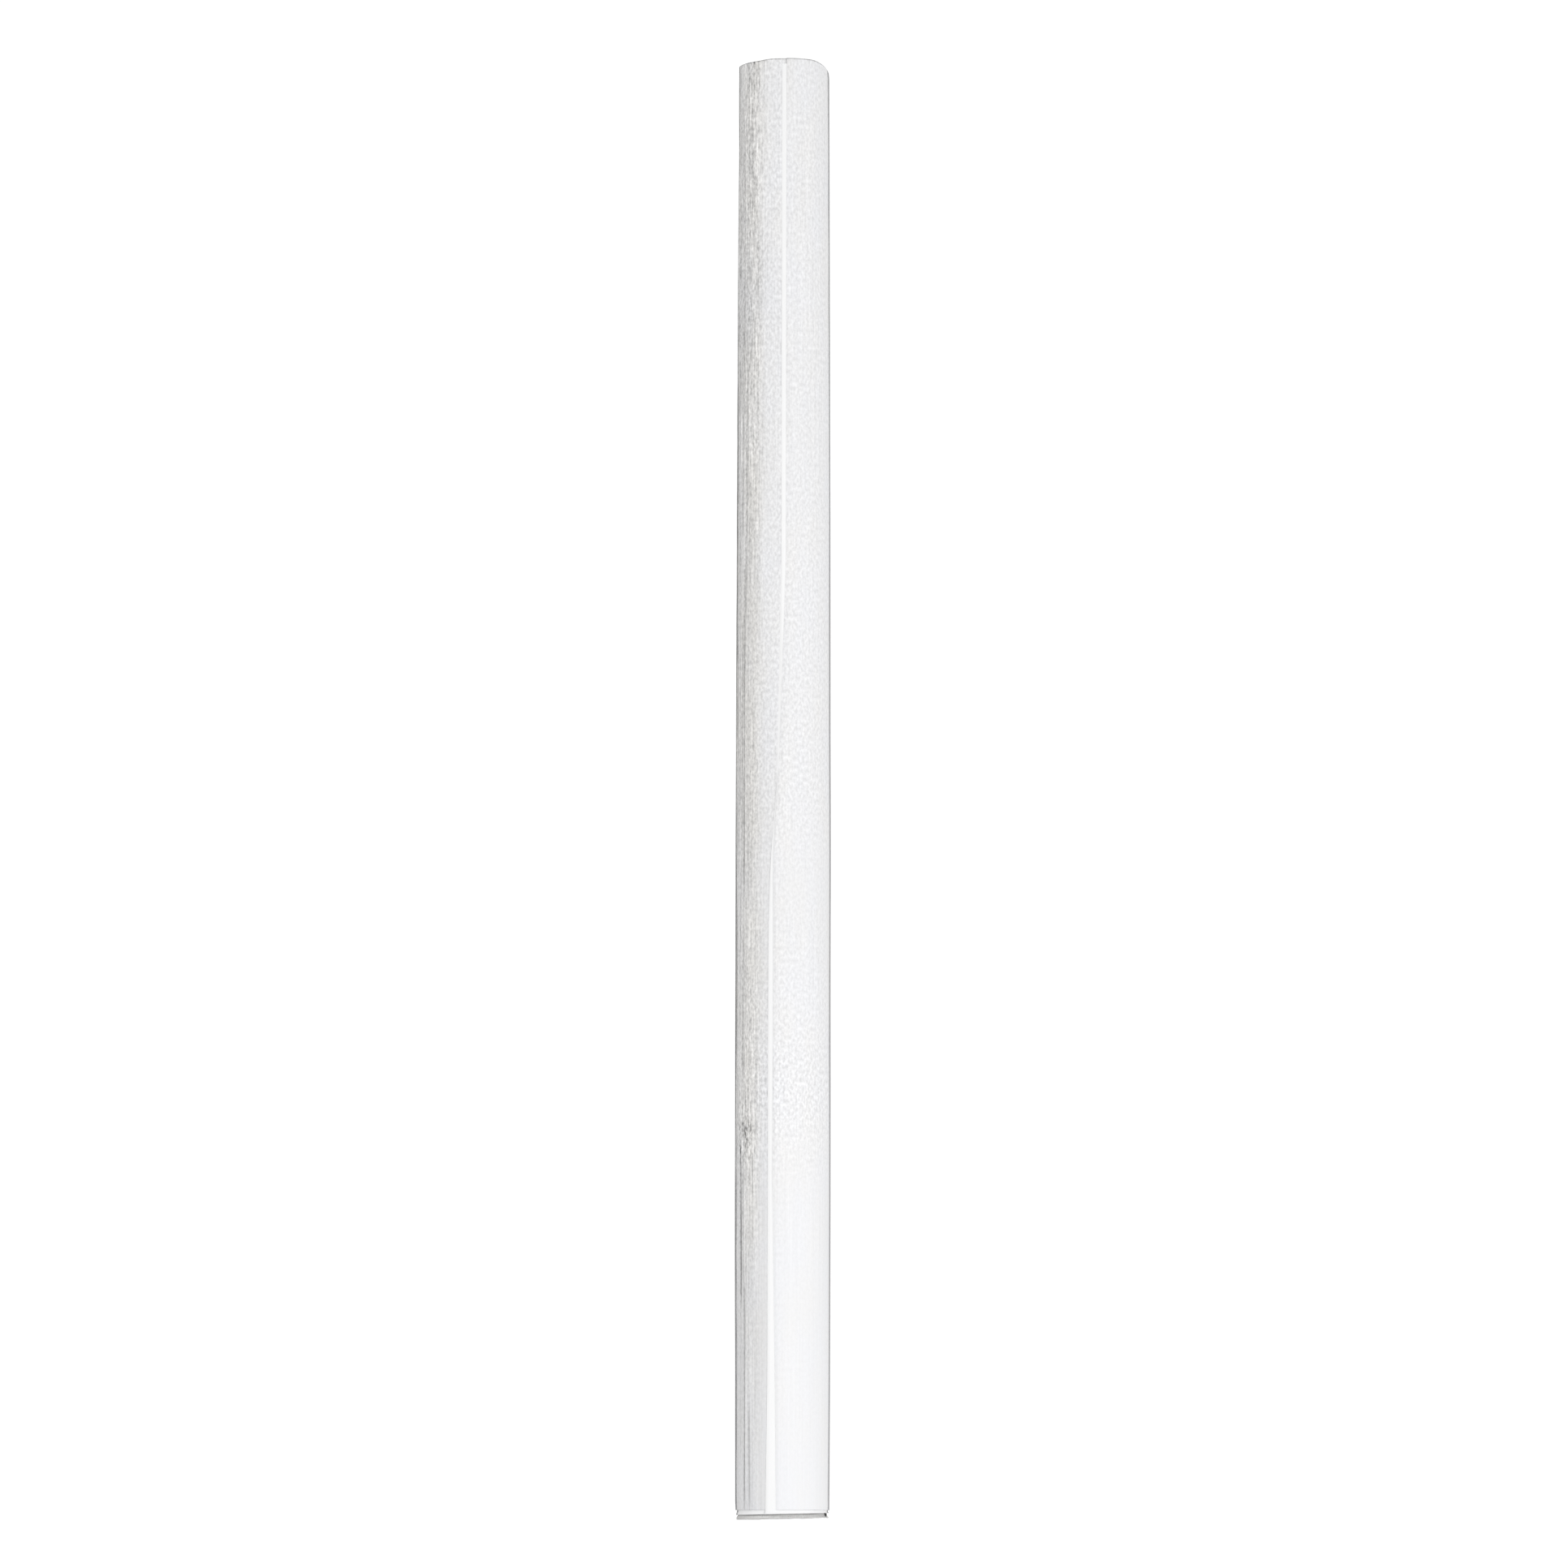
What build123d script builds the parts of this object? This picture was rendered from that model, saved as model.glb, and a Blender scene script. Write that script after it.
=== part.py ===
from build123d import *
import os
from math import cos, pi, radians, sin, sqrt, tau

# A straight, unpointed blending stump: soft paper sheets wound one after another on a thin wire,
# then two thin white sheets wound on together as the liner and the cover. Every sheet is cut to
# the same size. The roll stands on its end along +Z, and its front faces -Y.
# Lengths are in millimetres, and angles along the winding are in radians.

# ---- driving dimensions ----
LENGTH = 152.4
SHEET_WIDTH = 151.4  # along the roll
SHEET_LENGTH = 38.5  # along the winding
CORE_SHEETS = ("first", "second", "third", "fourth", "fifth")

PINHOLE_RADIUS = 0.40  # left by the wire that the roll is started on
CORE_PAPER = 0.27
PASTE_GAP = 0.05  # between one turn and the next
LINER_PAPER = 0.10
COVER_PAPER = 0.12
PITCH = CORE_PAPER + PASTE_GAP  # radius gained in one turn, the same for liner and cover together

BUTT_GAP = 0.20  # between the end of one sheet and the start of the next
LINER_RISE = 0.45  # the liner's lower edge over the foot
COVER_RISE = LENGTH - SHEET_WIDTH  # the cover's lower edge over the foot
CORE_DISH = 0.03  # the inner sheets sit higher, by this times the square of the sheets between

PASTE_WIDTH = 3.0
PASTE_THICKNESS = 0.03
PASTE_SETBACK = 0.30  # from the sheet's free edge to the paste
PASTE_END_MARGIN = 1.5  # the paste stops short of the sheet's ends
PASTE_FACETS = 12  # flats across a paste line: it keeps clear of the paper on both sides
PASTE_SPANS = 8  # straight spans along a paste line

# the roll is thickest at its waist and slims towards each end, by these shares of its radius
WAIST_HEIGHT = 45.0
SLIM_AT_FOOT = 0.019
SLIM_AT_TOP = 0.048

# where the free edges lie, in degrees left of the front, at the foot and at the top: both sheets
# are wound on a little askew, and the liner stands out past the cover most at the foot
LINER_EDGE = (20.5, 1.0)
COVER_EDGE = (7.0, -4.0)
POINTS_PER_TURN = 24


# ---- the winding ----
def angle_after(length, start):
    """The winding angle reached when a sheet of this length is wound on from the start angle."""
    start_radius = PINHOLE_RADIUS + PITCH * start / tau
    return (sqrt(start_radius**2 + length * PITCH / pi) - PINHOLE_RADIUS) / PITCH * tau


def slimming(height):
    """The roll's radius at a height, as a share of its radius at the waist."""
    if height < WAIST_HEIGHT:
        return 1 - SLIM_AT_FOOT * (1 - height / WAIST_HEIGHT) ** 2
    return 1 - SLIM_AT_TOP * ((height - WAIST_HEIGHT) / (LENGTH - WAIST_HEIGHT)) ** 2


core_ends = [0.0]
for _ in CORE_SHEETS:
    core_ends.append(angle_after(SHEET_LENGTH, core_ends[-1]))
wrap_start = core_ends[-1]
wrap_end = angle_after(SHEET_LENGTH, wrap_start)  # where the liner's edge is at the foot


def spiral_point(angle, depth, height):
    """A point this far out from the underside of the turn at the given winding angle.

    The winding runs clockwise seen from the top, and its end is left of the front at the foot.
    """
    foot_edge = radians(-90 - LINER_EDGE[0])
    bearing = foot_edge + wrap_end - angle
    radius = (PINHOLE_RADIUS + PITCH * angle / tau + depth) * slimming(height)
    return (radius * cos(bearing), radius * sin(bearing))


def edge_angle(edge, height):
    """The winding angle where a sheet's skewed free edge lies at a height."""
    left = edge[0] + (edge[1] - edge[0]) * height / LENGTH
    return wrap_end - radians(LINER_EDGE[0] - left)


def levels(low, high):
    """The heights of the sections that a sheet from low to high is lofted through."""
    return (low, WAIST_HEIGHT, (WAIST_HEIGHT + high) / 2, high)


def draw_sheet(start, end, depth, thickness, height):
    """The cross-section of a sheet between two winding angles."""
    count = max(4, round((end - start) / tau * POINTS_PER_TURN))
    angles = [start + (end - start) * i / count for i in range(count + 1)]
    inner = [spiral_point(a, depth, height) for a in angles]
    outer = [spiral_point(a, depth + thickness, height) for a in angles]
    with BuildLine() as outline:
        Spline(*inner)
        Line(inner[-1], outer[-1])
        Spline(*reversed(outer))
        Line(outer[0], inner[0])
    make_face(outline.edges())


def draw_paste(start, end, depth, height):
    """The cross-section of a dried paste line: flats so narrow that they follow the winding."""
    angles = [start + (end - start) * i / PASTE_FACETS for i in range(PASTE_FACETS + 1)]
    inner = [spiral_point(a, depth, height) for a in angles]
    outer = [spiral_point(a, depth + PASTE_THICKNESS, height) for a in angles]
    with BuildLine() as outline:
        Polyline(*inner, *reversed(outer), close=True)
    make_face(outline.edges())


def paste_levels(low, high):
    """The heights of the sections that a paste line from low to high is made through."""
    return [low + (high - low) * i / PASTE_SPANS for i in range(PASTE_SPANS + 1)]


def finish(piece, name):
    """Labels a finished piece and writes it to its own file."""
    piece.part.label = name
    export_step(piece.part, f"parts/{name}.step")


os.makedirs("parts", exist_ok=True)

# ---- core sheets, each with the paste line that holds its outer edge down ----
for order, ordinal in enumerate(CORE_SHEETS):
    sheet_start = core_ends[order]
    outer_radius = PINHOLE_RADIUS + PITCH * core_ends[order + 1] / tau
    sheet_end = core_ends[order + 1] - BUTT_GAP / outer_radius
    foot = CORE_DISH * (len(CORE_SHEETS) - 1 - order) ** 2
    top = foot + SHEET_WIDTH

    with BuildPart() as core_sheet:
        for level in levels(foot, top):
            with BuildSketch(Plane.XY.offset(level)):
                draw_sheet(sheet_start, sheet_end, 0, CORE_PAPER, level)
        loft()
    finish(core_sheet, f"{ordinal}_core_sheet")

    paste_end = sheet_end - PASTE_SETBACK / outer_radius
    paste_start = paste_end - PASTE_WIDTH / outer_radius
    paste_depth = -(PASTE_GAP + PASTE_THICKNESS) / 2
    low = foot + PASTE_END_MARGIN
    high = top - PASTE_END_MARGIN
    with BuildPart() as core_paste:
        for level in paste_levels(low, high):
            with BuildSketch(Plane.XY.offset(level)):
                draw_paste(paste_start, paste_end, paste_depth, level)
        loft(ruled=True)
    finish(core_paste, f"{ordinal}_core_paste")


# ---- liner and cover, wound on together, with the paste lines under their free edges ----
wraps = (
    ("liner", 0.0, LINER_PAPER, LINER_RISE, LINER_EDGE),
    ("cover", LINER_PAPER + PASTE_GAP, COVER_PAPER, COVER_RISE, COVER_EDGE),
)
lap_radius = PINHOLE_RADIUS + PITCH * wrap_end / tau
for wrap_name, depth, paper, foot, edge in wraps:
    top = foot + SHEET_WIDTH
    with BuildPart() as wrap:
        for level in levels(foot, top):
            with BuildSketch(Plane.XY.offset(level)):
                draw_sheet(wrap_start, edge_angle(edge, level), depth, paper, level)
        loft()
    finish(wrap, f"{wrap_name}_wrap")

    paste_depth = depth - (PASTE_GAP + PASTE_THICKNESS) / 2
    with BuildPart() as wrap_paste:
        for level in paste_levels(foot + PASTE_END_MARGIN, top - PASTE_END_MARGIN):
            paste_end = edge_angle(edge, level) - PASTE_SETBACK / lap_radius
            paste_start = paste_end - PASTE_WIDTH / lap_radius
            with BuildSketch(Plane.XY.offset(level)):
                draw_paste(paste_start, paste_end, paste_depth, level)
        loft(ruled=True)
    finish(wrap_paste, f"{wrap_name}_paste")
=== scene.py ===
from math import cos, pi, radians, sin, sqrt, tau

import bpy
import numpy as np
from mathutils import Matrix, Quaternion, Vector


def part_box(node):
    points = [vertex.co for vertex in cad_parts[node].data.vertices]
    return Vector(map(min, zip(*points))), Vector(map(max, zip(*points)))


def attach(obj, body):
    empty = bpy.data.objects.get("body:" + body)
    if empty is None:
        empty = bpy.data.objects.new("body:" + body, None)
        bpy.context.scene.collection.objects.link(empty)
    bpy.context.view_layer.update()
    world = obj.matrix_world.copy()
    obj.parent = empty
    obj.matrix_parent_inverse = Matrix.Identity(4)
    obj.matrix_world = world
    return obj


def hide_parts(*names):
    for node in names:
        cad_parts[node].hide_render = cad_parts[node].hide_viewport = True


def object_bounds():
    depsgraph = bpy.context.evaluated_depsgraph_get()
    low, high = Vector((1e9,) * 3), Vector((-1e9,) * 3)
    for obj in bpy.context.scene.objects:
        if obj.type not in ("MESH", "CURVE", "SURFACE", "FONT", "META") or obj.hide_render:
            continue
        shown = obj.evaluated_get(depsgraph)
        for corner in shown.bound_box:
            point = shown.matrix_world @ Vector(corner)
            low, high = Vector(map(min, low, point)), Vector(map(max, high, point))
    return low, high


# An unpointed blending stump, standing on its end: paper sheets wound into a tight roll.
# Every sheet is rebuilt here as a closed mesh that follows the CAD winding, with the creases,
# soft edges and uneven cut of real paper, and so are the two outer paste lines. Sizes are in
# millimetres, and Blender gets metres. Winding angles are in radians. "Facing" is the direction
# that a point of the roll faces, in degrees: 0 at the front, which is -Y, positive to the right
# and negative to the left.

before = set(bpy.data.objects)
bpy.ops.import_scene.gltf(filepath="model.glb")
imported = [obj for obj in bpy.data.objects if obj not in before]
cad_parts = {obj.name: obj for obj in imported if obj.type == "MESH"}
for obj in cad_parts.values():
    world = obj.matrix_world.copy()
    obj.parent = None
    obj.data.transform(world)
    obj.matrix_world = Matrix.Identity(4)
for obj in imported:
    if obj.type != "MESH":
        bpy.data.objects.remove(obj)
cad_low, cad_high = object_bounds()

MM = 0.001
LENGTH = (cad_high.z - cad_low.z) / MM

# ---- the winding, as in the CAD model ----
SHEET_LENGTH = 38.5  # along the winding
PINHOLE_RADIUS = 0.40
CORE_PAPER = 0.27
PASTE_GAP = 0.05
LINER_PAPER = 0.10
COVER_PAPER = 0.12
PITCH = CORE_PAPER + PASTE_GAP
BUTT_GAP = 0.20
PASTE_WIDTH = 3.0
PASTE_THICKNESS = 0.03
PASTE_SETBACK = 0.30  # from the sheet's free edge to the paste
WAIST_HEIGHT = 45.0
SLIM_AT_FOOT = 0.019
SLIM_AT_TOP = 0.048
WINDING_END = -20.5  # the facing of the liner's free edge at the foot
CORE_SHEETS = ("first", "second", "third", "fourth", "fifth")

# ---- the free edges of the two thin sheets, which wander as real ones do ----
# height of the point, facing of the liner's edge, facing of the cover's edge
LAP_EDGES = (
    (0, -20.5, -6.5),
    (14, -18.0, -8.0),
    (35, -17.5, -11.5),
    (60, -17.5, -10.5),
    (68, -15.0, -11.5),
    (74, -9.0, -8.0),
    (80, -3.5, -1.5),
    (86, -2.2, 3.0),
    (95, -2.0, 4.0),
    (LENGTH, -2.0, 4.0),
)
LINER = 1  # the columns of the two edges
COVER = 2
LAP_EASE = 3.0  # half the length over which the edges turn from one line into the next

THIN_ROUND = 0.02  # rounding of the thin papers' cut edges
CORE_ROUND = 0.08  # and of the soft core paper's
PASTE_ROUND = 0.01  # and of the dried paste's
LINER_LIFT = 0.04  # the liner's real cut strays a little from the CAD model's
COVER_EDGE_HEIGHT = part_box("cover_wrap")[0].z / MM
LINER_EDGE_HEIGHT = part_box("liner_wrap")[0].z / MM + LINER_LIFT


# ---- small helpers ----
def smooth_step(low, high, x):
    """0 below low, 1 above high, and a smooth rise between them."""
    share = np.clip((x - low) / (high - low), 0, 1)
    return share * share * (3 - 2 * share)


def hump(x, low, high, soft):
    """1 between low and high, falling smoothly to 0 over a distance soft outside them."""
    return smooth_step(low - soft, low, x) * (1 - smooth_step(high, high + soft, x))


def table_value(table, height, column=1):
    """A value from one column of a table. Column 0 of the table holds heights."""
    rows = np.array(table)
    return np.interp(height, rows[:, 0], rows[:, column])


FIELD_SIZE = 256  # after this many features a random field repeats


def random_field(seed):
    """A smooth random function of two coordinates, from -1 to 1, with features of size 1."""
    lattice = np.random.default_rng(seed).uniform(-1, 1, (FIELD_SIZE, FIELD_SIZE))

    def value(u, v):
        column = np.floor(u).astype(int)
        row = np.floor(v).astype(int)
        across = smooth_step(0, 1, u - column)
        along = smooth_step(0, 1, v - row)
        column = column % FIELD_SIZE
        row = row % FIELD_SIZE
        next_column = (column + 1) % FIELD_SIZE
        next_row = (row + 1) % FIELD_SIZE
        low = lattice[column, row] * (1 - across) + lattice[next_column, row] * across
        high = lattice[column, next_row] * (1 - across) + lattice[next_column, next_row] * across
        return low * (1 - along) + high * along

    return value


# ---- the winding ----
def winding_radius(angle):
    """How far the underside of the turn at this winding angle is from the middle."""
    return PINHOLE_RADIUS + PITCH * angle / tau


def angle_after(length, start):
    """The winding angle reached when a sheet of this length is wound on from the start angle."""
    start_radius = winding_radius(start)
    return (sqrt(start_radius**2 + length * PITCH / pi) - PINHOLE_RADIUS) / PITCH * tau


def slimming(height):
    """The roll's radius at a height, as a share of its radius at the waist."""
    below = 1 - SLIM_AT_FOOT * (1 - height / WAIST_HEIGHT) ** 2
    above = 1 - SLIM_AT_TOP * ((height - WAIST_HEIGHT) / (LENGTH - WAIST_HEIGHT)) ** 2
    return np.where(height < WAIST_HEIGHT, below, above)


core_ends = [0.0]
for _ in CORE_SHEETS:
    core_ends.append(angle_after(SHEET_LENGTH, core_ends[-1]))
wrap_start = core_ends[-1]
wrap_end = angle_after(SHEET_LENGTH, wrap_start)


def facing_of(angle):
    """The facing, in degrees from -180 to 180, at a winding angle."""
    facing = WINDING_END + np.degrees(wrap_end - angle)
    return (facing + 180) % 360 - 180


def angle_facing(facing):
    """The winding angle, near the winding's end, that has this facing."""
    return wrap_end - np.radians(facing - WINDING_END)


def lap_edge(column, height):
    """The winding angle of a free edge at a height. The column is LINER or COVER."""
    shifts = np.linspace(-LAP_EASE, LAP_EASE, 9)
    eased = np.mean([table_value(LAP_EDGES, height + shift, column) for shift in shifts], axis=0)
    return angle_facing(eased)


# ---- wear that every sheet of the roll shares ----
FOOT_SKEW = 0.21  # the foot's cut rises this much from the left to the right
FOOT_TAPER = 0.07  # how far the left side draws in at the foot, over the height below
FOOT_TAPER_HEIGHT = 2.0
FOOT_FLARE = 0.10  # how far the right side flares out at the foot, over the height below
FOOT_FLARE_HEIGHT = 0.8
CRUSH_IN = 0.05  # the rim's right corner at the top is pressed in and down
CRUSH_DOWN = 0.88
CRUSH_HEIGHT = 1.6
RIM_DROOP = 0.17  # the rim hangs a little on the left
# where each kind of wear is full, in degrees to its own side, and the degrees it fades over
TAPER_ZONE = (60, 130, 40)
FLARE_ZONE = (65, 115, 45)
DROOP_ZONE = (42, 140, 30)
CORNER_STARTS = (34, 92)  # the crushed corner grows between the first two facings
CORNER_ENDS = (98, 160)  # and fades between these
WEAR_RADII = (3.2, 4.9)  # the wear grows from nothing to its full depth between these radii
LINER_SPREAD = 0.12  # the liner spreads this much below the cover, over the height below
LINER_SPREAD_HEIGHT = 0.5
CORE_FOLLOWS = 0.8  # the share of the liner's spread that the core shows too
CORE_SPREAD = 0.17  # the core spreads this much more, over this stretch below the liner
CORE_SPREAD_STRETCH = (0.06, 0.22)
SPREAD_RADII = (3.2, 4.4)  # the spread grows from nothing to its full width between these radii


def worn(radius, facing, height):
    """A point's radius and height after the knocks that the roll's two ends have taken."""
    left = hump(-facing, *TAPER_ZONE)
    right = hump(facing, *FLARE_ZONE)
    corner = smooth_step(*CORNER_STARTS, facing) * (1 - smooth_step(*CORNER_ENDS, facing))
    outside = smooth_step(*WEAR_RADII, radius)
    near_foot = np.clip(1 - height / FOOT_TAPER_HEIGHT, 0, 1)
    at_foot = np.clip(1 - height / FOOT_FLARE_HEIGHT, 0, 1)
    at_top = np.clip((height - LENGTH) / CRUSH_HEIGHT + 1, 0, 1)
    draw_in = FOOT_TAPER * left * near_foot - FOOT_FLARE * right * at_foot
    draw_in += CRUSH_IN * corner * at_top**2
    sink = CRUSH_DOWN * corner + RIM_DROOP * hump(-facing, *DROOP_ZONE)
    return radius - draw_in * outside, height - sink * outside * at_top


def liner_spread(height):
    """Below the cover the liner is free to spread."""
    return LINER_SPREAD * smooth_step(0, LINER_SPREAD_HEIGHT, COVER_EDGE_HEIGHT - height)


def core_spread(height):
    """The soft core is held in by the liner, and spreads where it is bare below it."""
    bare = LINER_EDGE_HEIGHT - height
    burst = CORE_SPREAD * smooth_step(*CORE_SPREAD_STRETCH, bare)
    return liner_spread(height) * CORE_FOLLOWS + burst


def foot_cut(angle):
    """How much the skewed cut lifts a sheet's lower edge."""
    return FOOT_SKEW * (1 + np.sin(np.radians(facing_of(angle)))) / 2


# ---- one wound sheet as a closed mesh ----
RIM_SHARES = (0.8, 0.5, 0.2)  # points across a cut edge, from the outer face to the inner
CROWDING = 0.985  # of a sheet's points towards its two ends: at 0 they are evenly spaced
SHARP_ANGLE = 42  # edges sharper than this many degrees are drawn sharp
CORE_COLUMNS_PER_TURN = 100
CLEAN_WAVER = 0.012  # how far a thin paper's cut edge strays
BURR = (0.05, 0.035, 0.02)  # and a core paper's, in its slow, quick and fine waver


def profile(spans, fine):
    """The loop round a sheet's lengthwise section: up the outer face, over the top, down the
    inner face, which has points only where the spans meet, and under the foot. Returns each
    point's share of the thickness, its share of the height, and +1 at the top, -1 at the foot
    or 0 between them."""
    steps = np.linspace(0, 1, spans * fine + 1)
    climb = steps - CROWDING * np.sin(tau * steps) / tau
    down = climb[::-1][::fine]
    rim = len(RIM_SHARES)
    share = np.concatenate([np.ones(len(climb)), RIM_SHARES, np.zeros(len(down)), RIM_SHARES[::-1]])
    rise = np.concatenate([climb, np.ones(rim), down, np.zeros(rim)])
    ends = np.where(rise == 1, 1, np.where(rise == 0, -1, 0))
    return share, rise, ends


def cap(spans, fine):
    """Faces that close a sheet at one end of its winding, as places in the profile's loop."""
    rim = len(RIM_SHARES)
    top = spans * fine
    faces = []
    for span in range(spans):
        face = list(range(span * fine, (span + 1) * fine + 1))
        if span == spans - 1:
            face += range(top + 1, top + 1 + rim)
        inner = top + rim + spans - span
        face += [inner, inner + 1]
        if span == 0:
            face += range(inner + 2, inner + 2 + rim)
        faces.append(face)
    return faces


def flat(angle, height):
    return np.zeros_like(angle)


def no_spread(height):
    return np.zeros_like(height)


def clean_cut(angle, ends):
    """The small waver of a cut through thin, hard paper."""
    return CLEAN_WAVER * ragged(angle * 9, ends * 3.7)


def soft_cut(angle, ends):
    """The burr of a cut through soft felted paper: a slow, a quick and a fine waver."""
    slow, quick, fine = BURR
    burr = slow * ragged(angle * 0.9, ends * 7.7 + 40)
    burr += quick * ragged(angle * 14, ends * 5.1)
    burr += fine * ragged(angle * 41, ends * 2.3)
    return burr


def wound_sheet(
    name,
    angle_at,
    depth,
    paper,
    foot,
    top,
    columns,
    spans,
    fine,
    rounding,
    relief=flat,
    pressed=flat,
    spread=no_spread,
    burr=clean_cut,
):
    """A sheet wound on the roll. angle_at(share, height) is the winding angle. foot(angle) and
    top are the heights of its cut ends. relief(angle, height) is how far the outer face stands
    out, pressed(angle, height) how far the whole sheet is pressed in, and spread(height) how far
    the outer turns spread near the foot. The cut ends are rounded by rounding, and waver by
    burr(angle, ends). The sheet has this many columns of faces along the winding, and this many
    spans along the roll, each cut into fine faces on the outer side. Returns the sheet, and its
    points' winding angles and unworn heights."""
    share, rise, ends = profile(spans, fine)
    loop = len(share)
    along = np.linspace(0, 1, columns + 1)[:, None] * np.ones(loop)
    rough_angle = angle_at(along, LENGTH * (rise * np.ones((columns + 1, 1))))
    low = foot(rough_angle)
    height = low + (top - low) * rise
    crown = rounding * (4 * share * (1 - share) - 1)
    angle = angle_at(along, height)
    height = height + ends * (crown + burr(angle, ends))

    out = relief(angle, height) * share - pressed(angle, height)
    radius = (winding_radius(angle) + depth + paper * share) * slimming(height) + out
    radius = radius + spread(height) * smooth_step(*SPREAD_RADII, radius)
    facing = facing_of(angle)
    radius, level = worn(radius, facing, height)
    x = radius * np.sin(np.radians(facing))
    y = -radius * np.cos(np.radians(facing))
    points = np.stack([x, y, level], axis=-1).reshape(-1, 3)

    faces = []
    for column in range(columns):
        here = column * loop
        there = here + loop
        for place in range(loop):
            after = (place + 1) % loop
            faces.append((here + place, here + after, there + after, there + place))
    last = columns * loop
    for face in cap(spans, fine):
        faces.append(face[::-1])
        faces.append([last + place for place in face])

    mesh = bpy.data.meshes.new(name)
    mesh.from_pydata((points * MM).tolist(), [], faces)
    mesh.polygons.foreach_set("use_smooth", [True] * len(mesh.polygons))
    mesh.set_sharp_from_angle(angle=radians(SHARP_ANGLE))
    lay = PITCH * angle**2 / (2 * tau) + PINHOLE_RADIUS * angle
    place = np.stack([lay, height, share * np.ones_like(lay)], axis=-1)
    place_layer = mesh.attributes.new("place", "FLOAT_VECTOR", "POINT")
    place_layer.data.foreach_set("vector", place.astype(np.float32).ravel())
    sheet = bpy.data.objects.new(name, mesh)
    bpy.context.scene.collection.objects.link(sheet)
    return sheet, angle, height


def paint(sheet, layer, values):
    """Keeps one number per point, for the material to read."""
    attribute = sheet.data.attributes.new(layer, "FLOAT", "POINT")
    attribute.data.foreach_set("value", values.astype(np.float32).ravel())


# ---- relief of the papers, in millimetres ----
crease_fine = random_field(11)
crease_wide = random_field(12)
crease_long = random_field(13)
swell = random_field(14)
ragged = random_field(15)

CREASE_ZONE = (-128, -42)  # facings between which the cover is creased most
CREASE_FADE = 26
# field, strength, and the width and length of its creases
CREASE_SIZES = (
    (crease_fine, 0.65, 0.29, 5.5),
    (crease_wide, 0.50, 0.62, 11),
    (crease_long, 0.45, 1.3, 26),
)
CREASE_HEIGHT = 0.045
LEAST_CREASED = 0.16  # the strength of the creases outside the crease zone
PATCHINESS = 0.25
SWELL_HEIGHT = 0.012
LINER_CREASE_HEIGHT = 0.006
KNOT_FACING = -54.0  # a small puckered knot in the cover
KNOT_HEIGHT = 39.8
KNOT_SIZE = (1.0, 2.2)  # how far it reaches, across and along the roll
KNOT_DEPTH = 0.05
KNOT_FOLD = 0.55  # from one of its folds to the next
FOLD_CENTRE = (-1.5, 1.2)  # what the folds run round, from the middle of the knot
FOLD_STRETCH = 0.8  # below 1 the folds are longer than they are wide
KNOT_CREASED = 0.6  # how much more creased and coarse the paper is in the knot
KNOT_GRAINY = 1.1
# facing, lowest and highest point, and strength of each long crease: below 0 it is a ridge
LONG_CREASES = (
    (-54, 3, 23, 1.2),
    (-50, 5, 14, -0.3),
    (-45, 3, 10, 0.8),
    (-62, 8, 30, 0.3),
    (-62, 24, 37.5, 1.5),
    (-57, 26, 36, 0.5),
    (-57, 47, 60, 0.9),
    (-64, 52, 66, 0.6),
    (-56, 66, 98, 1.0),
    (-61, 72, 92, 0.7),
    (-67, 74, 104, 0.6),
    (-52, 96, 122, 0.6),
    (-60, 104, 142, 0.7),
    (-70, 112, 136, 0.5),
    (-65, 118, 147, 0.5),
)
CREASE_DEPTH = 0.05  # of the long creases
CREASE_WIDTH = 0.11
CREASE_SWAY = 0.04  # how far they stray sideways
CREASE_END = 3  # the length over which they fade out
# height, strength of the creases on the left, coarseness of the grain there, and on the right
PAPER_ALONG = (
    (0, 0.40, 0.25, 0.03),
    (12, 0.50, 0.32, 0.07),
    (24, 0.62, 0.40, 0.08),
    (34, 0.90, 0.70, 0.12),
    (44, 0.90, 0.80, 0.62),
    (52, 0.85, 0.75, 0.38),
    (66, 0.75, 0.60, 0.20),
    (76, 0.65, 0.70, 0.44),
    (95, 0.45, 0.50, 0.42),
    (107, 1.10, 0.60, 0.40),
    (120, 1.45, 0.85, 0.38),
    (135, 1.60, 1.00, 0.40),
    (LENGTH, 1.20, 1.00, 0.38),
)
CREASES = 1  # the columns of that table
GRAIN_LEFT = 2
GRAIN_RIGHT = 3
SCRATCH_FACING = 52.0  # a faint slanting scratch on the right
SCRATCH_HEIGHT = 18.0
SCRATCH_DEPTH = 0.012
SCRATCH_WIDTH = 0.11
SCRATCH_SLANT = 0.25
SCRATCH_REACH = (-2.0, 2.0, 0.8)  # from its middle down and up, and the length it fades over
LAP_FADE = (0.1, 0.15)  # the relief grows over these angles, before and past the lap
COVER_THINNING = (0.05, 0.3)  # the free edges thin by this much, over this width
LINER_THINNING = (0.03, 0.2)
PASTED_WIDTH = 1.8  # the free edges start to sink this far from the edge
SINK_ONTO_PASTE = 0.018
SINK_PAST_PASTE = 0.027


def arc_from(middle, facing, angle):
    """The distance along the surface from the facing in the middle."""
    return np.radians(facing - middle) * winding_radius(angle)


def creasing(facing, height):
    """How strongly the cover is creased: most on the left, and fading towards the lap."""
    left = hump(facing, *CREASE_ZONE, CREASE_FADE)
    patchy = 1 - PATCHINESS + PATCHINESS * swell(facing / 23, height / 21)
    return (LEAST_CREASED + (1 - LEAST_CREASED) * left) * patchy


def near_knot(facing, angle, height):
    """1 in the middle of the knot, falling to 0 round it."""
    arc = arc_from(KNOT_FACING, facing, angle)
    rise = height - KNOT_HEIGHT
    return np.exp(-((arc / KNOT_SIZE[0]) ** 2) - (rise / KNOT_SIZE[1]) ** 2)


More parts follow.
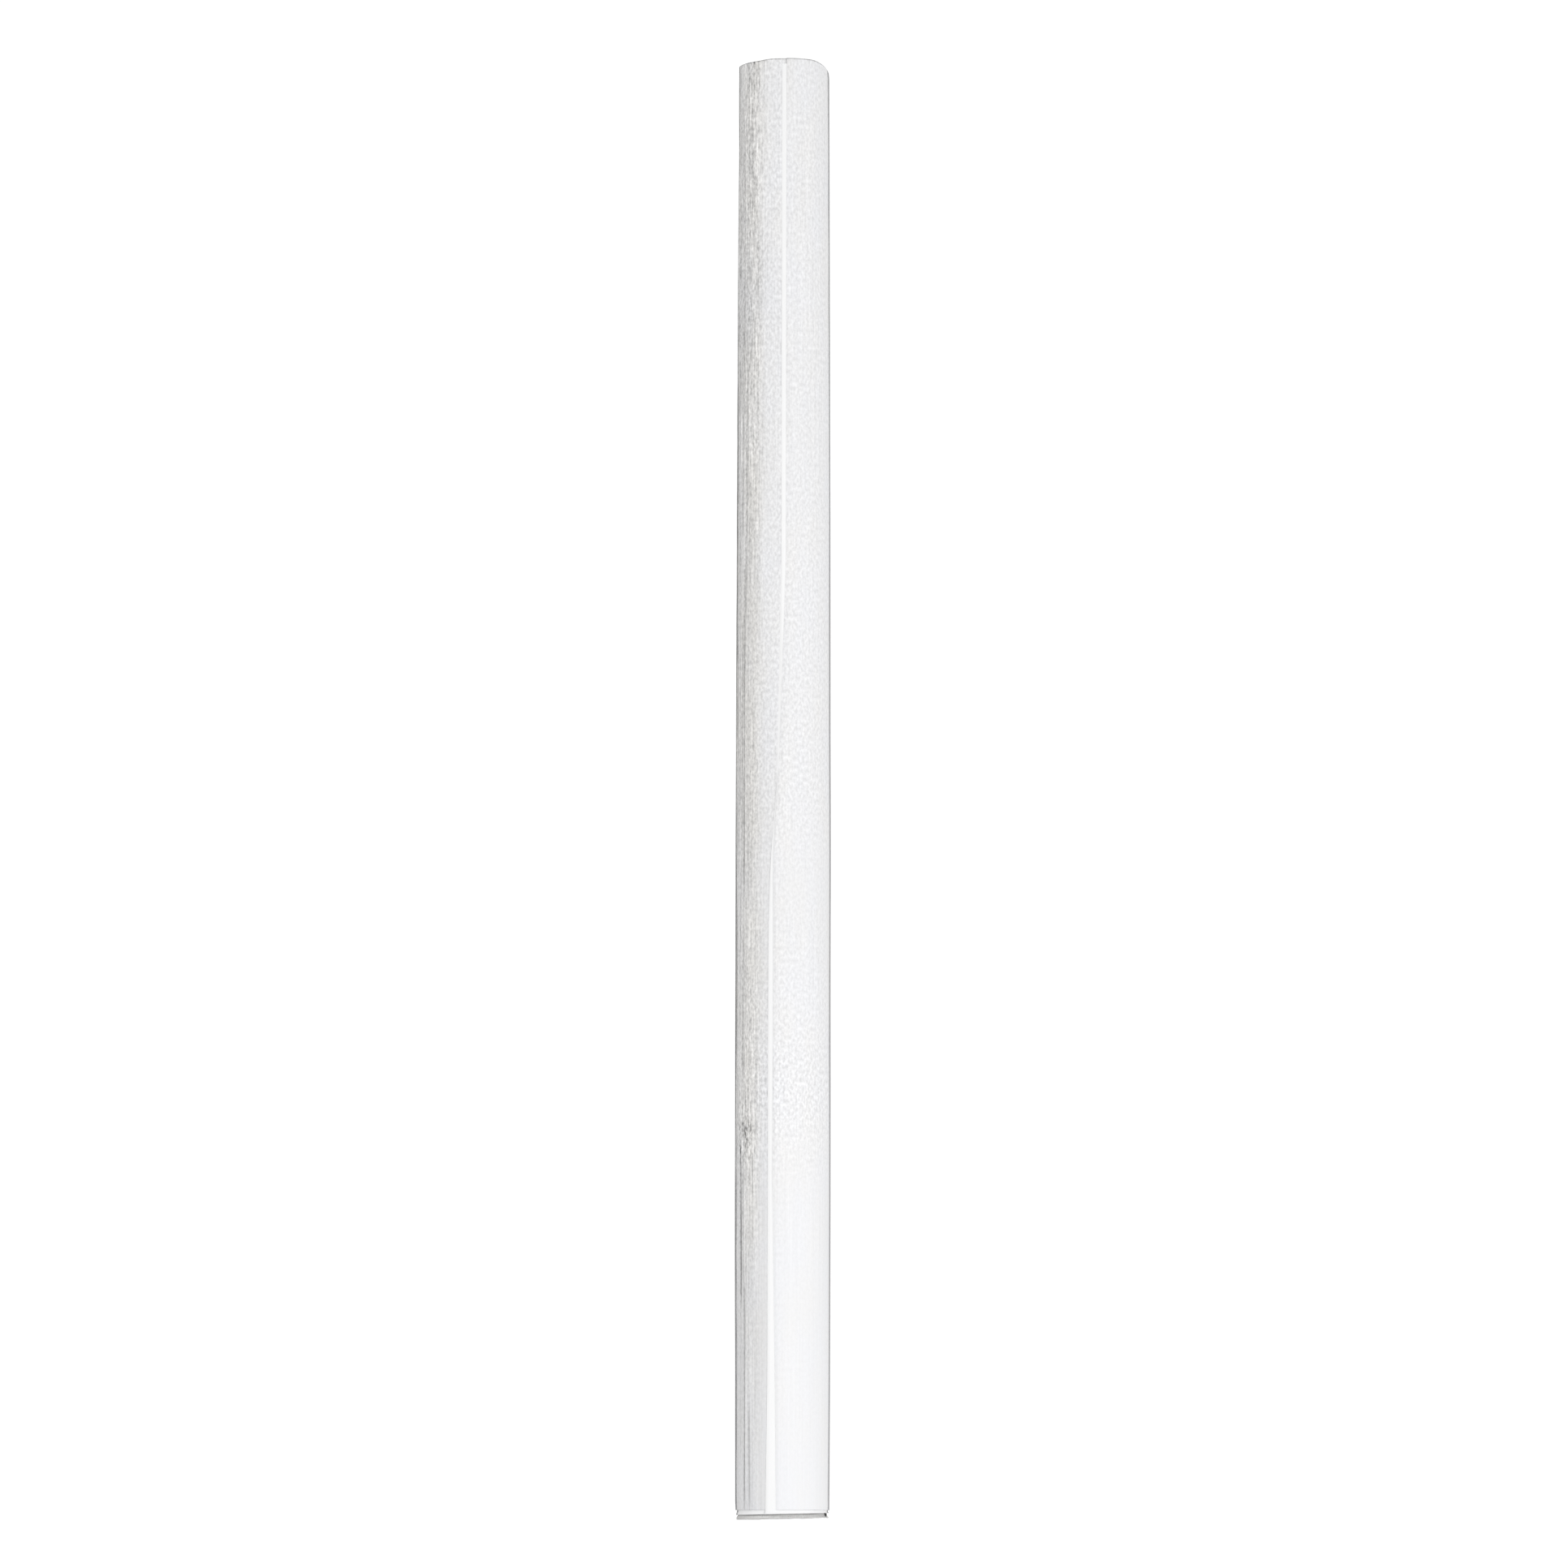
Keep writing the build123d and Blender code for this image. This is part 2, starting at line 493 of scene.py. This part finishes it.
def knot(facing, angle, height):
    """Folds in the knot, which run round a point above it and to its left."""
    arc = arc_from(KNOT_FACING, facing, angle)
    rise = height - KNOT_HEIGHT - FOLD_CENTRE[1]
    fold = np.hypot(arc - FOLD_CENTRE[0], rise * FOLD_STRETCH)
    return KNOT_DEPTH * near_knot(facing, angle, height) * np.sin(fold * tau / KNOT_FOLD)


def long_creases(facing, angle, height):
    """The single long creases: above 0 in a groove, and below 0 on a ridge."""
    total = np.zeros_like(facing)
    for middle, low, high, strength in LONG_CREASES:
        arc = arc_from(middle, facing, angle) + CREASE_SWAY * np.sin(height / 6 + middle)
        groove = np.exp(-((arc / CREASE_WIDTH) ** 2))
        total += strength * groove * hump(height, low, high, CREASE_END)
    return total


def scratch(facing, angle, height):
    """A shallow slanting scratch."""
    rise = height - SCRATCH_HEIGHT
    off_line = arc_from(SCRATCH_FACING, facing, angle) - SCRATCH_SLANT * rise
    groove = np.exp(-((off_line / SCRATCH_WIDTH) ** 2))
    return -SCRATCH_DEPTH * groove * hump(rise, *SCRATCH_REACH)


def near_edge(column, angle, height, width):
    """1 at a thin sheet's free edge, falling smoothly to 0 this far back along the winding."""
    back = (lap_edge(column, height) - angle) * winding_radius(angle)
    return 1 - smooth_step(0, width, back)


def thinned(column, angle, height, thinning):
    """How much thinner a sheet is near its free edge."""
    depth, width = thinning
    return depth * near_edge(column, angle, height, width)


def cover_relief(angle, height):
    """The cover's creases, knot and scratch, which fade out where the next turn covers it."""
    facing = facing_of(angle)
    around = winding_radius(angle) * angle
    creases = np.zeros_like(around)
    for field, strength, width, length in CREASE_SIZES:
        creases += strength * field(around / width, height / length)
    creases *= table_value(PAPER_ALONG, height, CREASES)
    out = CREASE_HEIGHT * creasing(facing, height) * creases
    out += SWELL_HEIGHT * swell(around / 5 + 9, height / 14)
    out -= CREASE_DEPTH * long_creases(facing, angle, height)
    out += knot(facing, angle, height)
    out += scratch(facing, angle, height)
    covered_to = lap_edge(COVER, height) - tau
    in_sight = smooth_step(covered_to - LAP_FADE[0], covered_to + LAP_FADE[1], angle)
    return out * in_sight - thinned(COVER, angle, height, COVER_THINNING)


def liner_relief(angle, height):
    around = winding_radius(angle) * angle
    creases = LINER_CREASE_HEIGHT * crease_wide(around / 0.5, height / 9)
    return creases - thinned(LINER, angle, height, LINER_THINNING)


def pasted_down(column, angle, height):
    """How far a pasted edge sinks: onto its paste, and past the paste onto the sheet below."""
    onto_paste = SINK_ONTO_PASTE * near_edge(column, angle, height, PASTED_WIDTH)
    return onto_paste + SINK_PAST_PASTE * near_edge(column, angle, height, PASTE_SETBACK)


def liner_pressed(angle, height):
    return pasted_down(LINER, angle, height)


def cover_pressed(angle, height):
    """The cover also follows the liner below it."""
    return pasted_down(COVER, angle, height) + liner_pressed(angle, height)


def liner_paste_pressed(angle, height):
    """Half as far as the sheet over it, so the paste stays between the two sheets."""
    return SINK_ONTO_PASTE / 2 * near_edge(LINER, angle, height, PASTED_WIDTH)


def cover_paste_pressed(angle, height):
    onto_paste = SINK_ONTO_PASTE / 2 * near_edge(COVER, angle, height, PASTED_WIDTH)
    return onto_paste + liner_pressed(angle, height)


# ---- the papers' tones, with painted shade ----
# height and tone, as painted shade: left of the lap, at the far left, and on the rest of the cover,
# which darkens towards the top
NEAR_LAP_PAINTED_SHADE = ((0, 0.845), (60, 0.865), (95, 0.92), (LENGTH, 0.935))
FAR_LEFT_PAINTED_SHADE = ((0, 0.845), (30, 0.82), (100, 0.79), (LENGTH, 0.77))
# the rest of the cover is painted darker towards the top
REST_TONE_AND_SHADE = ((0, 1.0), (30, 0.985), (60, 0.955), (LENGTH, 0.955))
WARM_LIGHT_ON_LEFT = ((0, 0.2), (24, 0.4), (48, 1.0))  # height, and how strong the painted warm fill light is on the creased left
LAST_PART = 2.2  # the last part of the winding, in radians, never gets the painted shade
FAR_LEFT_STARTS = (20, 44)  # degrees to the left over which the far left's tone takes over
BACK_STARTS = (100, 160)  # and degrees to both sides over which the rest's does
CREASE_PAINTED_SHADE = 0.40  # painted shade: these darken the creases, the knot, the far left and the cut rim
KNOT_PAINTED_SHADE = 0.10
LEFT_EDGE_PAINTED_SHADE = 0.09
FAR_LEFT_ZONE = (74, 100, 10)  # degrees to the left, and the degrees it fades over
RIM_PAINTED_SHADE = 0.46
RIM_DEPTHS = (0.16, 0.04)  # how far below the rim its painted shade starts, and is full
COARSEST = 0.9  # the grain at the far left
GRAIN_ZONE = (-128, -44)  # the facings that are coarsest
MIDDLE_GRAIN = 0.12  # added between the far left and the lap
MIDDLE_ZONE = (-60, -5, 15)
UNDER_LINER_SHADE = (0.70, 0.50)  # how much the painted shadow under the liner darkens the core, and how much less at the sides
SIDES_START = (45, 75)
UNDER_LINER_SHADE_DEPTH = 0.03  # below the liner's edge
UNDER_LINER_SHADE_WIDTH = 0.06
CORE_TONE = 0.97


def cover_tone_and_shade(angle, height):
    """Painted shade on the cover: darker on its first visible turn left of the lap, most at the far
    left, in its long creases and knot, towards the top, and in a band below its cut rim.
    """
    facing = facing_of(angle)
    first_turn = angle < wrap_end - LAST_PART
    near_lap = table_value(NEAR_LAP_PAINTED_SHADE, height)
    far_left = table_value(FAR_LEFT_PAINTED_SHADE, height)
    rest = table_value(REST_TONE_AND_SHADE, height)
    # painted shade left of the lap, deepest at the far left
    grey = near_lap + (far_left - near_lap) * smooth_step(*FAR_LEFT_STARTS, -facing)
    grey = grey + (rest - grey) * smooth_step(*BACK_STARTS, np.abs(facing))
    # painted shade in the long creases
    grey -= CREASE_PAINTED_SHADE * long_creases(facing, angle, height)
    # painted shade in the knot's folds
    grey -= KNOT_PAINTED_SHADE * near_knot(facing, angle, height)
    # painted shade at the far left edge
    grey -= LEFT_EDGE_PAINTED_SHADE * hump(-facing, *FAR_LEFT_ZONE)
    # painted shade along the top rim
    rim = RIM_PAINTED_SHADE * smooth_step(LENGTH - RIM_DEPTHS[0], LENGTH - RIM_DEPTHS[1], height)
    return np.where(first_turn & (facing <= 0), grey, rest) - rim


def cover_grain(facing, height):
    """How coarse the cover's grain is: coarse on the left, and finest low on the right."""
    rest = table_value(PAPER_ALONG, height, GRAIN_RIGHT)
    coarse = table_value(PAPER_ALONG, height, GRAIN_LEFT)
    middle = MIDDLE_GRAIN * coarse * hump(facing, *MIDDLE_ZONE)
    left = hump(facing, *GRAIN_ZONE, CREASE_FADE) * coarse
    return rest + middle * (1 - left) + (COARSEST - rest) * left


def core_tone_and_shade(facing, height):
    """Painted shadow darkens the core just below the liner's edge, less so at the sides."""
    below = LINER_EDGE_HEIGHT - height
    # painted shadow in the recess under the liner's overhang
    under_liner_shade = UNDER_LINER_SHADE[0] - UNDER_LINER_SHADE[1] * smooth_step(*SIDES_START, np.abs(facing))
    return CORE_TONE - under_liner_shade * np.exp(-(((below - UNDER_LINER_SHADE_DEPTH) / UNDER_LINER_SHADE_WIDTH) ** 2))


# ---- materials ----
# the cover's whites: the warm one paints the warm fill light on the creased left, and random warm
# patches
COOL_WHITE = (0.902, 0.906, 0.928, 1)
WARM_LIGHT_AND_PATCH_WHITE = (0.915, 0.899, 0.870, 1)
LINER_WHITES = ((0.985, 0.985, 0.985, 1), (0.978, 0.980, 0.985, 1))
CORE_GREYS = ((0.72, 0.717, 0.705, 1), (0.79, 0.785, 0.775, 1))
PASTE_YELLOWS = ((0.74, 0.69, 0.56, 1), (0.83, 0.80, 0.70, 1))
FLOOR_GREYS = ((0.5, 0.5, 0.5, 1), (0.52, 0.52, 0.52, 1))
USUAL_NOISE = (0.3, 0.7)  # most of a noise node's values lie between these


def add_gloss(shader):
    """The sheen of calendered paper."""
    shader.inputs["Coat Weight"].default_value = 1.0
    shader.inputs["Coat Roughness"].default_value = 0.06
    shader.inputs["Coat IOR"].default_value = 1.8


def new_material(name, roughness, specular):
    material = bpy.data.materials.new(name)
    material.use_nodes = True
    shader = material.node_tree.nodes["Principled BSDF"]
    shader.inputs["Roughness"].default_value = roughness
    shader.inputs["Specular IOR Level"].default_value = specular
    return material, material.node_tree, shader


def add(tree, kind, settings=(), inputs=()):
    """A new node with these settings, and these input values or links."""
    node = tree.nodes.new(kind)
    for key, value in dict(settings).items():
        setattr(node, key, value)
    for key, value in dict(inputs).items():
        if isinstance(value, bpy.types.NodeSocket):
            tree.links.new(value, node.inputs[key])
        else:
            node.inputs[key].default_value = value
    return node


def layer(tree, name, output):
    return add(tree, "ShaderNodeAttribute", {"attribute_name": name}).outputs[output]


def grain(tree, place, across, along, detail, seed):
    """Noise over the sheet, with features about this many millimetres across and along the roll."""
    scaled = add(
        tree,
        "ShaderNodeVectorMath",
        {"operation": "MULTIPLY_ADD"},
        {0: place, 1: (1 / across, 1 / along, 1.0), 2: (seed, seed * 0.7, 0)},
    )
    settings = {"noise_dimensions": "3D"}
    inputs = {"Vector": scaled.outputs[0], "Scale": 1.0, "Detail": detail, "Roughness": 0.55}
    return add(tree, "ShaderNodeTexNoise", settings, inputs).outputs["Fac"]


def compute(tree, operation, first, second=0.0, third=0.0):
    node = add(tree, "ShaderNodeMath", {"operation": operation}, {0: first, 1: second, 2: third})
    return node.outputs[0]


def remap(tree, value, low, high, to_low, to_high):
    inputs = {"Value": value, 1: low, 2: high, 3: to_low, 4: to_high}
    return add(tree, "ShaderNodeMapRange", {"clamp": True}, inputs).outputs[0]


def spread_noise(tree, noise, low, high):
    """A noise's usual values, spread out from low to high."""
    return remap(tree, noise, *USUAL_NOISE, low, high)


def blend_colours(tree, factor, first, second):
    node = add(tree, "ShaderNodeMix", {"data_type": "RGBA"}, {0: factor, 6: first, 7: second})
    return node.outputs[2]


def shade(tree, colour, value):
    """The colour, made lighter or darker by a factor."""
    node = add(tree, "ShaderNodeVectorMath", {"operation": "SCALE"}, {0: colour, "Scale": value})
    return node.outputs[0]


def bump(tree, shader, height, distance, strength):
    inputs = {"Height": height, "Distance": distance, "Strength": strength}
    node = add(tree, "ShaderNodeBump", {}, inputs)
    tree.links.new(node.outputs["Normal"], shader.inputs["Normal"])


def cover_material():
    """Smooth white calendered paper, with lengthwise streaks where it is creased."""
    material, tree, shader = new_material("cover_paper", roughness=0.46, specular=0.5)
    place = layer(tree, "place", "Vector")
    creased = layer(tree, "creased", "Fac")
    # the paper's tone with its painted shade
    tone_and_shade = layer(tree, "tone_and_shade", "Fac")
    grainy = layer(tree, "grainy", "Fac")
    streaks = grain(tree, place, across=0.22, along=14.0, detail=2.0, seed=2.0)
    dashes = grain(tree, place, across=0.20, along=1.8, detail=1.0, seed=13.0)
    tooth = grain(tree, place, across=0.24, along=0.44, detail=1.5, seed=5.0)
    cloud = grain(tree, place, across=3.0, along=9.0, detail=2.0, seed=9.0)
    streak_shade = spread_noise(tree, streaks, -0.22, 0.22)
    dash_shade = spread_noise(tree, dashes, -0.26, 0.26)
    streak_shade = compute(tree, "MULTIPLY_ADD", dash_shade, grainy, streak_shade)
    streak_shade = compute(tree, "MULTIPLY", streak_shade, creased)
    tooth_shade = spread_noise(tree, tooth, -0.26, 0.26)
    tooth_shade = compute(tree, "MULTIPLY", tooth_shade, grainy)
    light = compute(tree, "ADD", streak_shade, tooth_shade)
    light = compute(tree, "ADD", light, tone_and_shade)
    warm_patches = remap(tree, cloud, 0.35, 0.65, -0.1, 0.3)
    # painted warm fill light on the creased left, plus random warm patches
    warm_light_and_patches = compute(tree, "MULTIPLY_ADD", layer(tree, "painted_warm_light", "Fac"), 0.95, warm_patches)
    colour = blend_colours(tree, warm_light_and_patches, COOL_WHITE, WARM_LIGHT_AND_PATCH_WHITE)
    tree.links.new(shade(tree, colour, light), shader.inputs["Base Color"])
    dull_patches = spread_noise(tree, cloud, 0.42, 0.50)
    dull = compute(tree, "MULTIPLY_ADD", creased, 0.10, dull_patches)
    tree.links.new(dull, shader.inputs["Roughness"])
    height = compute(tree, "MULTIPLY", tooth, grainy)
    height = compute(tree, "MULTIPLY_ADD", streaks, creased, height)
    bump(tree, shader, height, distance=0.00005, strength=0.8)
    add_gloss(shader)
    return material


def liner_material():
    """The whiter, smoother paper of the liner."""
    material, tree, shader = new_material("liner_paper", roughness=0.5, specular=0.4)
    place = layer(tree, "place", "Vector")
    fibres = grain(tree, place, across=0.30, along=3.0, detail=3.0, seed=21.0)
    tooth = grain(tree, place, across=0.2, along=0.3, detail=2.0, seed=23.0)
    light = spread_noise(tree, fibres, 0.985, 1.0)
    colour = blend_colours(tree, tooth, *LINER_WHITES)
    tree.links.new(shade(tree, colour, light), shader.inputs["Base Color"])
    tree.links.new(spread_noise(tree, tooth, 0.46, 0.56), shader.inputs["Roughness"])
    bump(tree, shader, tooth, distance=0.00002, strength=0.4)
    add_gloss(shader)
    return material


def core_material():
    """Soft grey-white felted paper: loose fibres and flecks."""
    material, tree, shader = new_material("core_paper", roughness=0.85, specular=0.2)
    place = layer(tree, "place", "Vector")
    # the core's tone with its painted shadow below the liner
    tone_and_shade = layer(tree, "tone_and_shade", "Fac")
    fibres = grain(tree, place, across=0.10, along=0.5, detail=4.0, seed=31.0)
    flecks = grain(tree, place, across=0.14, along=0.14, detail=1.0, seed=37.0)
    light = compute(tree, "MULTIPLY", spread_noise(tree, fibres, 0.90, 1.06), tone_and_shade)
    fleck_shade = remap(tree, flecks, 0.66, 0.74, 0.0, 0.14)
    light = compute(tree, "SUBTRACT", light, fleck_shade)
    colour = blend_colours(tree, fibres, *CORE_GREYS)
    tree.links.new(shade(tree, colour, light), shader.inputs["Base Color"])
    tree.links.new(spread_noise(tree, fibres, 0.78, 0.92), shader.inputs["Roughness"])
    bump(tree, shader, fibres, distance=0.00008, strength=0.8)
    return material


def paste_material():
    """Dried starch paste: pale, slightly yellow and a little glossy."""
    material, tree, shader = new_material("paste", roughness=0.38, specular=0.5)
    place = add(tree, "ShaderNodeNewGeometry").outputs["Position"]
    inputs = {"Vector": place, "Scale": 900.0, "Detail": 3.0}
    clots = add(tree, "ShaderNodeTexNoise", {}, inputs).outputs["Fac"]
    colour = blend_colours(tree, clots, *PASTE_YELLOWS)
    tree.links.new(colour, shader.inputs["Base Color"])
    tree.links.new(spread_noise(tree, clots, 0.3, 0.5), shader.inputs["Roughness"])
    bump(tree, shader, clots, distance=0.00002, strength=0.5)
    return material


# ---- the pieces ----
def height_range(node):
    """A CAD node's lowest and highest level, in millimetres."""
    low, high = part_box(node)
    return low.z / MM, high.z / MM


def place_sheet(sheet, material, node):
    sheet.data.materials.append(material)
    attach(sheet, "root")
    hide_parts(node)


def make_core(material):
    """The core's sheets: they show only at the roll's two ends."""
    for order, ordinal in enumerate(CORE_SHEETS):
        node = f"{ordinal}_core_sheet"
        low, high = height_range(node)
        start = core_ends[order]
        end = core_ends[order + 1] - BUTT_GAP / winding_radius(core_ends[order + 1])
        turns = (end - start) / tau
        sheet, angle, height = wound_sheet(
            f"{node}_paper",
            lambda share, height: start + (end - start) * share,
            0,
            CORE_PAPER,
            lambda angle: low + foot_cut(angle),
            high,
            columns=round(turns * CORE_COLUMNS_PER_TURN),
            spans=6,
            fine=12,
            rounding=CORE_ROUND,
            spread=core_spread,
            burr=soft_cut,
        )
        # the core's tone, with the painted shadow below the liner's edge
        paint(sheet, "tone_and_shade", core_tone_and_shade(facing_of(angle), height - foot_cut(angle)))
        place_sheet(sheet, material, node)


def make_liner(material):
    low, high = height_range("liner_wrap")
    sheet, _, _ = wound_sheet(
        "liner_paper_sheet",
        lambda share, height: wrap_start + (lap_edge(LINER, height) - wrap_start) * share,
        0,
        LINER_PAPER,
        lambda angle: low + LINER_LIFT + foot_cut(angle),
        high,
        columns=300,
        spans=12,
        fine=16,
        rounding=THIN_ROUND,
        relief=liner_relief,
        pressed=liner_pressed,
        spread=liner_spread,
    )
    place_sheet(sheet, material, "liner_wrap")


def make_cover(material):
    low, high = height_range("cover_wrap")
    sheet, angle, height = wound_sheet(
        "cover_paper_sheet",
        lambda share, height: wrap_start + (lap_edge(COVER, height) - wrap_start) * share,
        LINER_PAPER + PASTE_GAP,
        COVER_PAPER,
        lambda angle: low * np.ones_like(angle),
        high,
        columns=480,
        spans=12,
        fine=30,
        rounding=THIN_ROUND,
        relief=cover_relief,
        pressed=cover_pressed,
    )
    facing = facing_of(angle)
    creased = creasing(facing, height)
    puckered = near_knot(facing, angle, height)
    # the cover's tone with its painted shade
    paint(sheet, "tone_and_shade", cover_tone_and_shade(angle, height))
    strength = table_value(PAPER_ALONG, height, CREASES)
    paint(sheet, "creased", creased * strength + KNOT_CREASED * puckered)
    paint(sheet, "grainy", cover_grain(facing, height) + KNOT_GRAINY * puckered)
    # painted warm fill light on the creased left, growing with height
    paint(sheet, "painted_warm_light", creased * table_value(WARM_LIGHT_ON_LEFT, height))
    place_sheet(sheet, material, "cover_wrap")


def make_wrap_paste(material, wrap_name, column, depth, pressed):
    """The paste line under a thin sheet's free edge. It follows the edge as it wanders."""
    node = f"{wrap_name}_paste"
    low, high = height_range(node)
    radius = winding_radius(wrap_end)

    def angle_at(share, height):
        free_end = lap_edge(column, height) - PASTE_SETBACK / radius
        return free_end - PASTE_WIDTH / radius * (1 - share)

    strip, _, _ = wound_sheet(
        f"{wrap_name}_paste_line",
        angle_at,
        depth - (PASTE_GAP + PASTE_THICKNESS) / 2,
        PASTE_THICKNESS,
        lambda angle: low * np.ones_like(angle),
        high,
        columns=24,
        spans=6,
        fine=12,
        rounding=PASTE_ROUND,
        pressed=pressed,
    )
    place_sheet(strip, material, node)


def dress_core_paste(material):
    """The core's paste lines stay as CAD made them, with a better material."""
    for ordinal in CORE_SHEETS:
        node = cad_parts[f"{ordinal}_core_paste"]
        node.data.materials.clear()
        node.data.materials.append(material)


# ---- the stage ----
FLOOR_SIZE = 6.0
FLOOR_GLOW = 0.78
# name, facing, distance, height, size and power of each soft light, in metres and watts: the key
# stands low, right of the front, the fill is weak, and the front never sees the back light
LIGHTS = (
    ("key", 20.0, 0.33, 0.02, 0.12, 0.45),
    ("fill", -78.0, 0.5, 0.08, 0.2, 0.16),
    ("back", 180.0, 0.6, 0.2, 0.2, 1.1),
)
LIGHT_AIM = 0.4  # the share of the roll's height that the lights point at
AMBIENT = 0.63  # the world's glow on the roll
WHITE = 1.05  # as the camera sees it
GLOSS_LIGHT = 0.95  # and as the papers' sheen sees it
FLAG_REACH = 32.0  # half the angle that the black flag spans, in degrees
FLAG_SOFTNESS = 5.0  # over which its edge fades
CAMERA_DISTANCE = 0.822  # in metres
CAMERA_HEIGHT = 0.001
AIM_RIGHT = 0.00015  # it looks this far beside the roll's middle
AIM_UP = 0.0003
LENS = 181.5
SENSOR_WIDTH = 36
CAMERA_ROLL = -0.08  # in degrees
CLIP = (0.01, 20)  # the nearest and farthest that the camera sees, in metres


def make_floor():
    mesh = bpy.data.meshes.new("floor")
    half = FLOOR_SIZE / 2
    corners = [(-half, -half, 0), (half, -half, 0), (half, half, 0), (-half, half, 0)]
    mesh.from_pydata(corners, [], [(0, 1, 2, 3)])
    floor = bpy.data.objects.new("floor", mesh)
    bpy.context.scene.collection.objects.link(floor)
    material, tree, shader = new_material("floor_white", roughness=0.9, specular=0.0)
    place = add(tree, "ShaderNodeNewGeometry").outputs["Position"]
    mottle = add(tree, "ShaderNodeTexNoise", {}, {"Vector": place, "Scale": 40.0}).outputs["Fac"]
    white = blend_colours(tree, mottle, *FLOOR_GREYS)
    tree.links.new(white, shader.inputs["Base Color"])
    shader.inputs["Emission Color"].default_value = (1, 1, 1, 1)
    shader.inputs["Emission Strength"].default_value = FLOOR_GLOW
    mesh.materials.append(material)
    floor.location.z = cad_low.z
    floor.visible_diffuse = False
    floor.visible_glossy = False
    floor.visible_shadow = False


def make_world():
    """Even white light all round. Gloss also sees a black flag that stands behind the roll."""
    world = bpy.data.worlds.new("studio")
    bpy.context.scene.world = world
    world.use_nodes = True
    tree = world.node_tree
    tree.nodes.clear()
    path = tree.nodes.new("ShaderNodeLightPath")

    def glow(strength):
        return add(tree, "ShaderNodeBackground", {}, {"Strength": strength}).outputs[0]

    def choose(factor, first, second):
        return add(tree, "ShaderNodeMixShader", {}, {0: factor, 1: first, 2: second}).outputs[0]

    direction = add(tree, "ShaderNodeTexCoord").outputs["Generated"]
    behind = add(tree, "ShaderNodeSeparateXYZ", {}, {0: direction}).outputs["Y"]
    flag_edge = cos(radians(FLAG_REACH))
    flag_full = cos(radians(FLAG_REACH - FLAG_SOFTNESS))
    flag = remap(tree, behind, flag_edge, flag_full, 0, 1)
    gloss = choose(flag, glow(GLOSS_LIGHT), glow(0.0))
    for_gloss = choose(path.outputs["Is Glossy Ray"], glow(AMBIENT), gloss)
    seen = choose(path.outputs["Is Camera Ray"], for_gloss, glow(WHITE))
    add(tree, "ShaderNodeOutputWorld", {}, {"Surface": seen})
    for node in tree.nodes:
        if node.type == "BACKGROUND":
            node.inputs["Color"].default_value = (1, 1, 1, 1)


def soft_light(name, facing, distance, height, size, power):
    """A round soft light that neither the camera nor the papers' sheen sees."""
    light = bpy.data.lights.new(name, "AREA")
    light.shape = "DISK"
    light.size = size
    light.energy = power
    lamp = bpy.data.objects.new(name, light)
    bpy.context.scene.collection.objects.link(lamp)
    out = Vector((sin(radians(facing)), -cos(radians(facing)), 0))
    lamp.location = out * distance + Vector((0, 0, height))
    aim = Vector((0, 0, LIGHT_AIM * LENGTH * MM)) - lamp.location
    lamp.rotation_mode = "QUATERNION"
    lamp.rotation_quaternion = aim.to_track_quat("-Z", "Y")
    lamp.visible_camera = False
    lamp.visible_glossy = False


def make_camera():
    data = bpy.data.cameras.new("camera")
    data.lens = LENS
    data.sensor_width = SENSOR_WIDTH
    data.clip_start, data.clip_end = CLIP
    camera = bpy.data.objects.new("camera", data)
    bpy.context.scene.collection.objects.link(camera)
    camera.location = (0, -CAMERA_DISTANCE, cad_low.z + CAMERA_HEIGHT)
    middle = Vector((AIM_RIGHT, 0, (cad_low.z + cad_high.z) / 2 + AIM_UP))
    aim = middle - camera.location
    camera.rotation_mode = "QUATERNION"
    roll = Quaternion(aim.normalized(), radians(CAMERA_ROLL))
    camera.rotation_quaternion = roll @ aim.to_track_quat("-Z", "Y")
    bpy.context.scene.camera = camera


make_core(core_material())
make_liner(liner_material())
make_cover(cover_material())
paste = paste_material()
make_wrap_paste(paste, "liner", LINER, 0, liner_paste_pressed)
make_wrap_paste(paste, "cover", COVER, LINER_PAPER + PASTE_GAP, cover_paste_pressed)
dress_core_paste(paste)
make_floor()
make_world()
for light_row in LIGHTS:
    soft_light(*light_row)
make_camera()
bpy.context.scene.view_settings.view_transform = "Standard"
